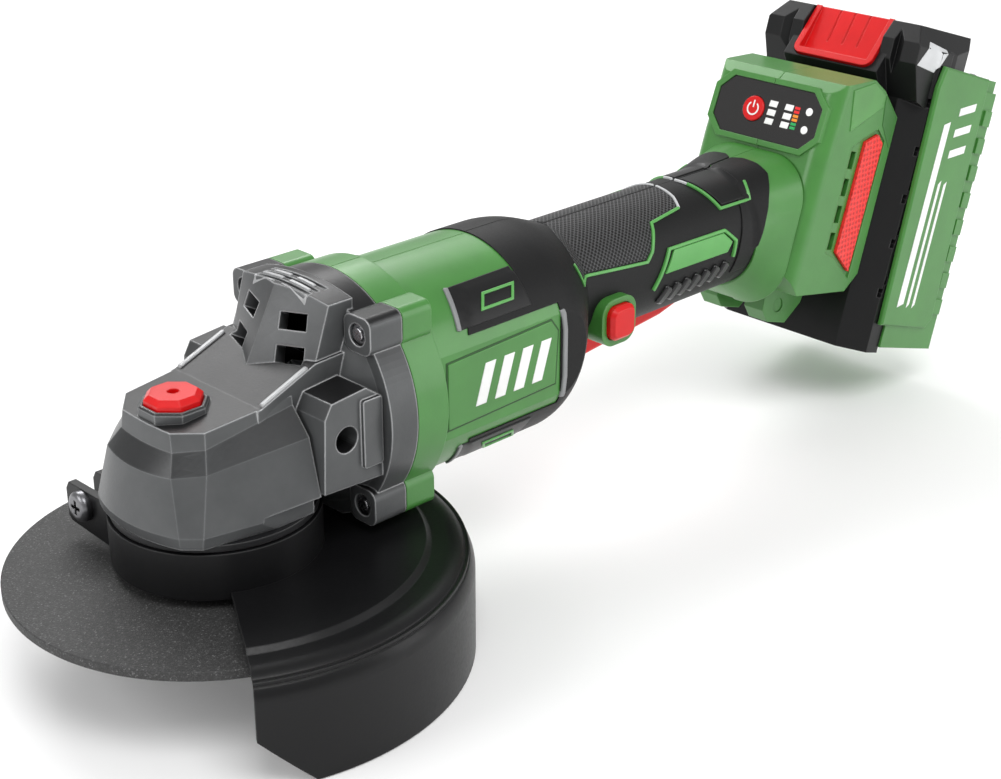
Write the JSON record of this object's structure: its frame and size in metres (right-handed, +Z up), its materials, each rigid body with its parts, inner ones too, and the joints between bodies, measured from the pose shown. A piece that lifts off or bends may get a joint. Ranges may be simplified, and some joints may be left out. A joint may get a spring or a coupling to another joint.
{
  "type": "cordless angle grinder",
  "caption": "Cordless angle grinder with cast gear head, adjustable wheel guard, cut-off disc, round soft grip handle with underside trigger, control panel foot and slide-on battery pack",
  "frame": {"origin": "centre of the spindle's free end, below the wheel", "axes": "+X along the motor axis from the gear head to the battery, +Z up along the spindle axis, +Y to the side of the guard clamp screw"},
  "size_m": [0.4119, 0.1407, 0.1436],
  "materials": {
    "cast_head": "painted satin",
    "green_shell": "satin",
    "soft_black": "matte",
    "black_plastic": "satin",
    "red_plastic": "gloss",
    "display_glass": "gloss",
    "abrasive": "rough",
    "black_steel": "satin",
    "bright_steel": "brushed",
    "gear_steel": "ground",
    "cell_sleeve": "film wrapped",
    "cast_alloy": "cast",
    "bronze": "plain",
    "circuit_board": "satin"
  },
  "bodies": {
    "body": {"gear_housing": "cast_head", "gear_housing_screws": "bright_steel", "bearing_box": "cast_alloy", "bearing_box_screws": "bright_steel", "spindle_top_bush": "bronze", "lower_bearing_outer_race": "bright_steel", "front_bearing_outer_race": "bright_steel", "rear_bearing_outer_race": "bright_steel", "lock_bezel": "cast_head", "motor_baffle": "black_plastic", "stator_core": "bright_steel", "stator_windings": "bronze", "housing_left": "green_shell", "housing_right": "green_shell", "housing_screws": "bright_steel", "soft_grip_left": "soft_black", "soft_grip_right": "soft_black", "lock_spring": "bright_steel", "lock_off_bezel": "green_shell", "lock_off_spring": "bright_steel", "switch_module": "black_plastic", "trigger_pin": "bright_steel", "trigger_spring": "bright_steel", "display_lens": "display_glass", "display_board": "circuit_board", "controller_board": "circuit_board", "terminal_block": "black_plastic", "terminal_blades": "bronze", "foot_strips": "red_plastic", "lanyard_pin": "green_shell"},
    "spindle_group": {"spindle": "bright_steel", "bevel_gear": "gear_steel", "inner_flange": "black_steel", "cutting_disc": "abrasive", "outer_flange_nut": "black_steel", "lower_bearing_inner_race": "bright_steel"},
    "rotor": {"motor_shaft": "bright_steel", "rotor_magnet": "bright_steel", "bevel_pinion": "gear_steel", "cooling_fan": "black_plastic", "front_bearing_inner_race": "bright_steel", "rear_bearing_inner_race": "bright_steel"},
    "guard": {"guard_shell": "black_steel", "guard_clamp_band": "black_steel", "guard_clamp_screw": "bright_steel", "guard_clamp_nut": "bright_steel"},
    "spindle_lock": {"lock_button": "red_plastic", "lock_pin": "bright_steel"},
    "trigger_lever": {"trigger": "red_plastic"},
    "lock_off": {"lock_off_button": "red_plastic"},
    "power_switch": {"power_button": "red_plastic"},
    "battery": {"battery_upper_case": "black_plastic", "battery_lower_case": "green_shell", "battery_cells": "cell_sleeve", "cell_holder": "black_plastic", "battery_board": "circuit_board", "battery_contacts": "bronze", "battery_screws": "bright_steel", "battery_latch_spring": "bright_steel"},
    "latch": {"battery_latch": "red_plastic"}
  },
  "joints": [
    {"name": "spindle_spin", "type": "hinge", "parent": "body", "child": "spindle_group", "pos_m": [0, 0, 0.03], "axis": [0, 0, 1], "continuous": true},
    {"name": "motor_spin", "type": "hinge", "parent": "body", "child": "rotor", "pos_m": [0.08, 0, 0.0542], "axis": [1, 0, 0], "continuous": true},
    {"name": "guard_turn", "type": "hinge", "parent": "body", "child": "guard", "pos_m": [0, 0, 0.023], "axis": [0, 0, 1], "range_deg": [-45, 90]},
    {"name": "lock_press", "type": "slide", "parent": "body", "child": "spindle_lock", "axis": [0, 0, -1], "range_m": [0, 0.0032], "stiffness_N_per_m": 600, "springref_m": -0.002, "deforming": ["lock_spring"]},
    {"name": "trigger_pull", "type": "hinge", "parent": "body", "child": "trigger_lever", "pos_m": [0.203, 0, 0.0475], "axis": [0, 1, 0], "range_deg": [0, 4.5], "stiffness_Nm_per_rad": 1.2, "springref_deg": -2.86, "deforming": ["trigger_spring"]},
    {"name": "lock_off_press", "type": "slide", "parent": "body", "child": "lock_off", "axis": [0, 1, 0], "range_m": [0, 0.002], "stiffness_N_per_m": 300, "springref_m": -0.002, "deforming": ["lock_off_spring"]},
    {"name": "power_press", "type": "slide", "parent": "body", "child": "power_switch", "axis": [0.9253, 0, -0.3791], "range_m": [0, 0.0006], "stiffness_N_per_m": 800, "springref_m": -0.001},
    {"name": "battery_slide", "type": "slide", "parent": "body", "child": "battery", "axis": [0.2957, 0, 0.9553], "range_m": [0, 0.1]},
    {"name": "latch_press", "type": "slide", "parent": "battery", "child": "latch", "axis": [0.7024, 0, -0.7118], "range_m": [0, 0.0025], "stiffness_N_per_m": 500, "springref_m": -0.002, "deforming": ["battery_latch_spring"]}
  ],
  "couplings": [
    {"joint": "motor_spin", "follows": "spindle_spin", "ratio": 3.2727}
  ]
}
